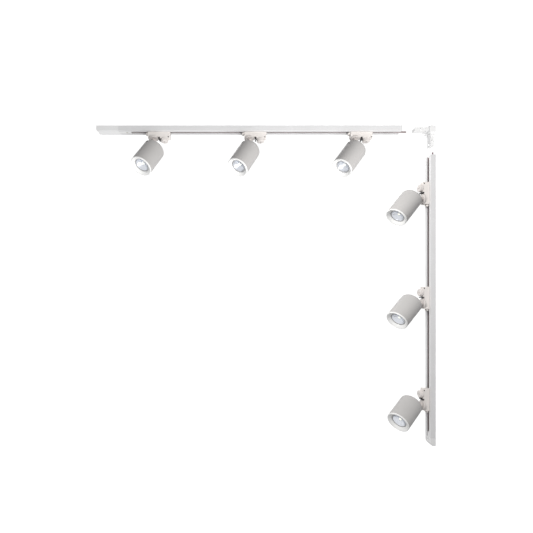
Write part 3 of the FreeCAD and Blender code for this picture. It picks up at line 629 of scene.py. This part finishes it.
def lamp_chip(name, place):
    """Board with its light-emitting dies at the bottom of the bowl."""
    mesh = bmesh.new()
    floor_z = LAMP_FACE + BOWL_FRONT + BOWL_DEPTH
    dies = [
        (0.0, floor_z - CHIP_HEIGHT),
        (CHIP_RADIUS - CHIP_CORNER, floor_z - CHIP_HEIGHT),
        (CHIP_RADIUS - CHIP_TAPER, floor_z - CHIP_SIDE),
        (CHIP_RADIUS, floor_z),
    ]
    board = [
        (CHIP_RADIUS, floor_z),
        (BOARD_RADIUS, floor_z),
        (BOARD_EDGE_RADIUS, floor_z + BOARD_THICKNESS),
    ]
    lathe(mesh, dies, SMALL_ROUND, place)
    lathe(mesh, board, SMALL_ROUND, place, material=1)
    return new_piece(name, mesh, [CHIP_WITH_PAINTED_GLOW, LOOKS["lamp_plastic"]], TURNED_EDGE)


def lamp_dome(name, place):
    """Small clear dome over the dies."""
    mesh = bmesh.new()
    floor_z = LAMP_FACE + DOME_DEPTH
    outline = []
    for step in range(DOME_STEPS + 1):
        angle = math.pi / 2 * step / DOME_STEPS
        outline.append((DOME_RADIUS * math.sin(angle), floor_z - DOME_HEIGHT * math.cos(angle)))
    outline.append((0.0, floor_z + DOME_BACK))
    lathe(mesh, outline, SMALL_ROUND, place)
    return new_piece(name, mesh, [LAMP_GLASS], DOME_EDGE)


def add_lamp(number):
    """One lamp of four pieces in place of its plain solid."""
    place = head_frame(number)
    body = f"spot_{number}_head"
    casing = lamp_body(f"spot_{number}_lamp_body", place)
    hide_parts(f"spot_{number}_lamp")
    pieces = [
        casing,
        lamp_reflector(f"spot_{number}_lamp_reflector", place),
        lamp_chip(f"spot_{number}_lamp_chip", place),
        lamp_dome(f"spot_{number}_lamp_dome", place),
    ]
    for piece in pieces:
        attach(piece, body)


# ---- Front rings -----------------------------------------------------------------------------
def front_ring(name, place):
    """Bezel whose front lip and cone are white and whose rear band has the housing's paint."""
    mesh = bmesh.new()
    front = -HEAD_FRONT
    seam = front + RING_LENGTH
    band = front + RING_LIP
    mouth = LAMP_RADIUS + MOUTH_GAP
    lip = LAMP_FACE - MOUTH_FRONT
    skirt = HEAD_RADIUS - SKIRT_INSET
    lip_edge = HEAD_RADIUS - BEZEL_LIP_WIDTH
    rim = [(HEAD_RADIUS, band - BEZEL_GROOVE)]
    for step in range(CORNER_STEPS + 1):
        angle = math.pi / 2 * step / CORNER_STEPS
        reach = HEAD_RADIUS - BEZEL_CORNER + BEZEL_CORNER * math.cos(angle)
        rim.append((reach, front + BEZEL_CORNER - BEZEL_CORNER * math.sin(angle)))
    white = rim + [
        (lip_edge, front),
        (lip_edge - CONE_EDGE, front + CONE_EDGE / 2),
        (mouth + CONE_EDGE, lip - MOUTH_STEP),
        (mouth, lip + 2 * MOUTH_STEP),
        (mouth, lip + MOUTH_LENGTH),
        (skirt - CONE_ROOT, front + CONE_ROOT_DEPTH),
        (skirt - SKIRT_WALL, seam + SKIRT_LENGTH),
        (skirt, seam + SKIRT_LENGTH),
        (skirt, seam),
        (HEAD_RADIUS - BEZEL_CHAMFER, seam),
    ]
    painted = [
        (HEAD_RADIUS - BEZEL_CHAMFER, seam),
        (HEAD_RADIUS, seam - BEZEL_CHAMFER),
        (HEAD_RADIUS, band + BEZEL_GROOVE),
        (HEAD_RADIUS - BEZEL_GROOVE, band),
        (HEAD_RADIUS, band - BEZEL_GROOVE),
    ]
    lathe(mesh, white, ROUND, place)
    lathe(mesh, painted, ROUND, place, material=1)
    bmesh.ops.remove_doubles(mesh, verts=mesh.verts, dist=WELD)
    return new_piece(name, mesh, [LOOKS["ring_paint"], LOOKS["head_paint"]], TURNED_EDGE)


def add_front_ring(number):
    """A finer bezel in place of the CAD one."""
    ring = front_ring(f"spot_{number}_bezel", head_frame(number))
    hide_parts(f"spot_{number}_front_ring")
    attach(ring, f"spot_{number}_head")


# ---- CAD nodes -------------------------------------------------------------------------------
def dress_cad_nodes():
    """Gives every CAD node its procedural material and angle-based shading."""
    slots = {row["node"]: row["material_slot"] for row in frame["record"]["subparts"]}
    for name, node in frame["nodes"].items():
        node.data.materials.clear()
        node.data.materials.append(LOOKS[slots[name]])
        smooth_by_angle(node.data, CAD_EDGE)


def paint_adapter_shadows(number):
    """Near-black painted shadow on the rib under an adapter and in its two pin holes, which lie in deep shade."""
    node = frame["nodes"][f"spot_{number}_adapter_body"]
    node.data.materials.append(PAINTED_SHADOW_LOOK)
    to_spot = spot_frame(number).inverted() @ node.matrix_world
    for face in node.data.polygons:
        x, y, z = to_spot @ face.center
        on_rib = RIB_START - FACE_TOLERANCE < x < RIB_END + FACE_TOLERANCE and z < RIB_TOP
        off_middle = max(abs(x - PIN_HOLE_X), abs(z - PIN_HOLE_LEVEL))
        in_pin_hole = off_middle < PIN_HOLE_REACH and abs(y) < ADAPTER_SIDE
        if on_rib or in_pin_hole:
            face.material_index = 1


add_camera()
add_stage()
dress_cad_nodes()
for spot_number in range(1, SPOT_COUNT + 1):
    paint_adapter_shadows(spot_number)
    add_lamp(spot_number)
    add_front_ring(spot_number)
add_light()
